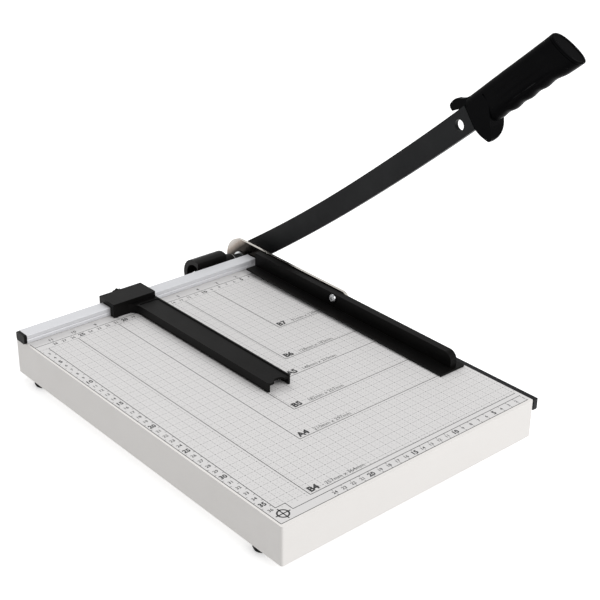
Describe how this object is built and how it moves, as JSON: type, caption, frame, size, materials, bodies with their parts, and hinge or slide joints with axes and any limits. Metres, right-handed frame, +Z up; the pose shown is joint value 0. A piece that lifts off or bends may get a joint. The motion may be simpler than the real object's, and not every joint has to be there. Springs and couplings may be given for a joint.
{
  "type": "guillotine paper cutter",
  "caption": "Desktop guillotine paper cutter: flat printed table, fence rail with sliding paper stop, hinged guard bar and a curved lever blade with a moulded grip.",
  "frame": {"origin": "middle of the whole cutter's bounding box, at the level of the feet's undersides", "axes": "+X across the table towards the blade, +Y away from the user towards the hinge, +Z up"},
  "size_m": [0.324, 0.438, 0.37],
  "materials": {
    "white_paint": "fine satin powder coat",
    "black_steel": "satin black",
    "black_casting": "semi-matt black paint",
    "nickel_plate": "polished nickel plate",
    "zinc_plate": "bright zinc plate",
    "aluminium": "silver anodised, drawn",
    "black_plastic": "satin moulded",
    "grip_plastic": "semi-gloss moulded",
    "rubber": "matt"
  },
  "bodies": {
    "base": {"base_tray": "white_paint", "bed_knife": "black_steel", "knife_screw_1": "zinc_plate", "knife_screw_2": "zinc_plate", "knife_screw_3": "zinc_plate", "knife_screw_4": "zinc_plate", "fence_rail": "aluminium", "rail_end_cap": "black_plastic", "rail_nut_1": "zinc_plate", "rail_screw_1": "zinc_plate", "rail_nut_2": "zinc_plate", "rail_screw_2": "zinc_plate", "foot_1": "rubber", "foot_screw_1": "zinc_plate", "foot_2": "rubber", "foot_screw_2": "zinc_plate", "foot_3": "rubber", "foot_screw_3": "zinc_plate", "foot_4": "rubber", "foot_screw_4": "zinc_plate", "hinge_bracket": "black_casting", "bracket_screw_1": "zinc_plate", "bracket_screw_2": "zinc_plate", "bracket_screw_3": "zinc_plate", "bracket_screw_4": "zinc_plate", "hinge_spring": "zinc_plate", "spring_washer": "zinc_plate", "collar_washer": "zinc_plate", "hinge_spacer": "black_steel", "lever_washer": "zinc_plate"},
    "blade_arm": {"cutting_blade": "black_steel", "handle_grip": "grip_plastic", "handle_end_cap": "grip_plastic", "handle_screw_1": "zinc_plate", "handle_screw_2": "zinc_plate", "pivot_bolt": "black_steel", "pivot_washer": "zinc_plate", "blade_sleeve": "zinc_plate", "lock_nut": "zinc_plate"},
    "paper_clamp": {"clamp_lever": "nickel_plate", "guard_bar": "black_plastic", "guard_screw": "zinc_plate", "guard_nut": "zinc_plate"},
    "paper_stop_slide": {"paper_stop": "black_plastic", "stop_pad": "zinc_plate"},
    "stop_thumb_screw": {"stop_knob": "black_plastic"}
  },
  "joints": [
    {"name": "blade_hinge", "type": "hinge", "parent": "base", "child": "blade_arm", "pos_m": [0.14265, 0.19366, 0.0414], "axis": [-1, 0, 0], "range_deg": [-37.5, 30]},
    {"name": "clamp_hinge", "type": "hinge", "parent": "base", "child": "paper_clamp", "pos_m": [0.12845, 0.19366, 0.0414], "axis": [-1, 0, 0], "range_deg": [0, 20]},
    {"name": "stop_slide", "type": "slide", "parent": "base", "child": "paper_stop_slide", "axis": [1, 0, 0], "range_m": [-0.09, 0.09]},
    {"name": "knob_turn", "type": "hinge", "parent": "paper_stop_slide", "child": "stop_thumb_screw", "pos_m": [-0.03685, 0.19066, 0.0503], "axis": [0, 1, 0], "range_deg": [0, 180]}
  ]
}
